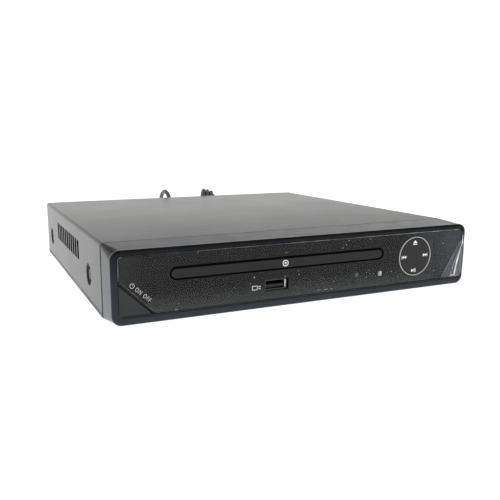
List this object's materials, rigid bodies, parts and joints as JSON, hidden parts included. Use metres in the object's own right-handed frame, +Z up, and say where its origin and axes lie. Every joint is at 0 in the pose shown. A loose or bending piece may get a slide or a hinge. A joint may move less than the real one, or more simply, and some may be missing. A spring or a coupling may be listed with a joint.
{
  "type": "tray-loading disc player",
  "caption": "Compact disc player: sheet-metal case, glossy front with sliding tray, round control pad, corner power button, USB port, and its loader, boards and mains cord.",
  "frame": {"origin": "middle of the footprint of the case and its rear sockets, on the surface the feet stand on", "axes": "+X to the viewer's right, +Y towards the back, +Z up; the front faces -Y"},
  "size_m": [0.227, 0.2842, 0.0463],
  "materials": {
    "cover_paint": "satin black powder paint",
    "zinc_sheet": "zinc plated sheet",
    "case_plastic": "fine matt black",
    "gloss_panel": "high gloss black",
    "clear_film": "thin clear film",
    "grey_trim": "pale grey trim",
    "loader_plastic": "moulded black",
    "tray_plastic": "moulded dark grey",
    "white_gear": "white acetal",
    "motor_metal": "plain can",
    "rubber_black": "matt",
    "pcb": "phenolic board",
    "pcb_green": "green solder mask",
    "chip_black": "moulded package",
    "alu": "extruded",
    "cap_sleeve": "dark sleeve",
    "socket_plastic": "natural nylon",
    "nickel": "bright nickel",
    "insert_plastic": "coloured inserts",
    "tape_yellow": "tape over core",
    "paper": "fibre sheet",
    "ribbon": "flat flexible",
    "screw_black": "black oxide",
    "cord_black": "PVC jacket",
    "lens_glass": "coated lens",
    "foot_plastic": "matt"
  },
  "bodies": {
    "case": {"top_cover": "cover_paint", "bottom_chassis": "zinc_sheet", "feet": "foot_plastic", "front_bezel": "case_plastic", "front_panel": "gloss_panel", "protective_film": "clear_film", "pad_trim_ring": "grey_trim", "ir_window": "gloss_panel", "led_light_pipe": "grey_trim", "usb_port_shell": "nickel", "usb_port_tongue": "socket_plastic", "front_board": "pcb", "front_board_parts": "chip_black", "loader_frame": "loader_plastic", "loading_motor": "motor_metal", "loader_belt": "rubber_black", "clamp_bridge": "zinc_sheet", "main_board": "pcb_green", "psu_board": "pcb", "psu_insulator": "paper", "board_chips": "chip_black", "heatsinks": "alu", "electrolytic_capacitors": "cap_sleeve", "board_sockets": "socket_plastic", "rca_jack_block": "chip_black", "rca_barrels": "nickel", "rca_inserts": "insert_plastic", "hdmi_socket": "nickel", "mains_transformer": "tape_yellow", "mains_input_parts": "chip_black", "front_ribbon": "ribbon", "internal_wiring": "ribbon", "case_screws": "screw_black", "loader_screws": "nickel", "board_screws": "nickel", "strain_relief": "cord_black", "power_cord": "cord_black", "cord_loop": "cord_black", "cord_coil": "cord_black", "cord_tie": "cord_black", "mains_plug": "cord_black"},
    "tray": {"disc_tray": "tray_plastic", "tray_door": "gloss_panel"},
    "tray_drive_gear": {"tray_drive_gear": "white_gear"},
    "pulley_gear": {"pulley_gear": "white_gear"},
    "motor_pulley": {"motor_pulley": "white_gear"},
    "cam_slider": {"cam_slider": "white_gear"},
    "deck": {"deck_plate": "zinc_sheet", "spindle_motor": "motor_metal", "guide_rods": "nickel", "sled_motor": "motor_metal"},
    "turntable": {"turntable": "loader_plastic"},
    "pickup": {"pickup_carriage": "alu", "objective_lens": "lens_glass"},
    "sled_gear": {"sled_gear": "white_gear"},
    "sled_motor_pinion": {"sled_motor_pinion": "white_gear"},
    "clamp_puck": {"clamp_puck": "loader_plastic"},
    "power_button": {"power_button": "gloss_panel"},
    "pad_gimbal_ring": {"pad_gimbal_ring": "white_gear"},
    "control_pad": {"control_pad": "gloss_panel"}
  },
  "joints": [
    {"name": "tray_slide", "type": "slide", "parent": "case", "child": "tray", "axis": [0, -1, 0], "range_m": [0, 0.13]},
    {"name": "tray_gear_turn", "type": "hinge", "parent": "case", "child": "tray_drive_gear", "pos_m": [-0.068, -0.0795, 0.02], "axis": [0, 0, 1], "range_deg": [-5, 1070]},
    {"name": "pulley_gear_turn", "type": "hinge", "parent": "case", "child": "pulley_gear", "pos_m": [-0.05071, -0.08579, 0.02], "axis": [0, 0, 1], "range_deg": [-3021, 5]},
    {"name": "motor_pulley_turn", "type": "hinge", "parent": "case", "child": "motor_pulley", "pos_m": [-0.02, -0.084, 0.018], "axis": [0, 0, 1], "range_deg": [-9151, 5]},
    {"name": "deck_tilt", "type": "hinge", "parent": "case", "child": "deck", "pos_m": [-0.0162, 0.0535, 0.0195], "axis": [1, 0, 0], "range_deg": [0, 3.1]},
    {"name": "cam_slide", "type": "slide", "parent": "case", "child": "cam_slider", "axis": [1, 0, 0], "range_m": [0, 0.0091]},
    {"name": "turntable_spin", "type": "hinge", "parent": "deck", "child": "turntable", "pos_m": [-0.0162, -0.0305, 0.025], "axis": [0, 0, 1], "continuous": true},
    {"name": "clamp_puck_spin", "type": "hinge", "parent": "case", "child": "clamp_puck", "pos_m": [-0.0162, -0.0305, 0.033], "axis": [0, 0, 1], "continuous": true},
    {"name": "pickup_slide", "type": "slide", "parent": "deck", "child": "pickup", "axis": [0, 1, 0], "range_m": [0, 0.034]},
    {"name": "sled_gear_turn", "type": "hinge", "parent": "deck", "child": "sled_gear", "pos_m": [-0.052, 0.0015, 0.015], "axis": [0, 0, 1], "range_deg": [-5, 411]},
    {"name": "sled_pinion_turn", "type": "hinge", "parent": "deck", "child": "sled_motor_pinion", "pos_m": [-0.06126, 0.01253, 0.013], "axis": [0, 0, 1], "range_deg": [-1224, 5]},
    {"name": "power_press", "type": "slide", "parent": "case", "child": "power_button", "axis": [0, 1, 0], "range_m": [0, 0.0004], "stiffness_N_per_m": 1500},
    {"name": "pad_tilt_updown", "type": "hinge", "parent": "case", "child": "pad_gimbal_ring", "pos_m": [0.0745, -0.1099, 0.02355], "axis": [1, 0, 0], "range_deg": [-2.2, 2.2], "stiffness_Nm_per_rad": 0.4},
    {"name": "pad_tilt_leftright", "type": "hinge", "parent": "pad_gimbal_ring", "child": "control_pad", "pos_m": [0.0745, -0.1099, 0.02355], "axis": [0, 0, 1], "range_deg": [-2.2, 2.2], "stiffness_Nm_per_rad": 0.4}
  ],
  "couplings": [
    {"joint": "tray_gear_turn", "follows": "tray_slide", "rad_per_m": 142.86},
    {"joint": "pulley_gear_turn", "follows": "tray_slide", "rad_per_m": -404.76},
    {"joint": "motor_pulley_turn", "follows": "tray_slide", "rad_per_m": -1227.6},
    {"joint": "cam_slide", "follows": "deck_tilt", "m_per_rad": 0.16634},
    {"joint": "clamp_puck_spin", "follows": "turntable_spin", "ratio": 1},
    {"joint": "sled_gear_turn", "follows": "pickup_slide", "rad_per_m": 208.33},
    {"joint": "sled_pinion_turn", "follows": "pickup_slide", "rad_per_m": -625}
  ]
}
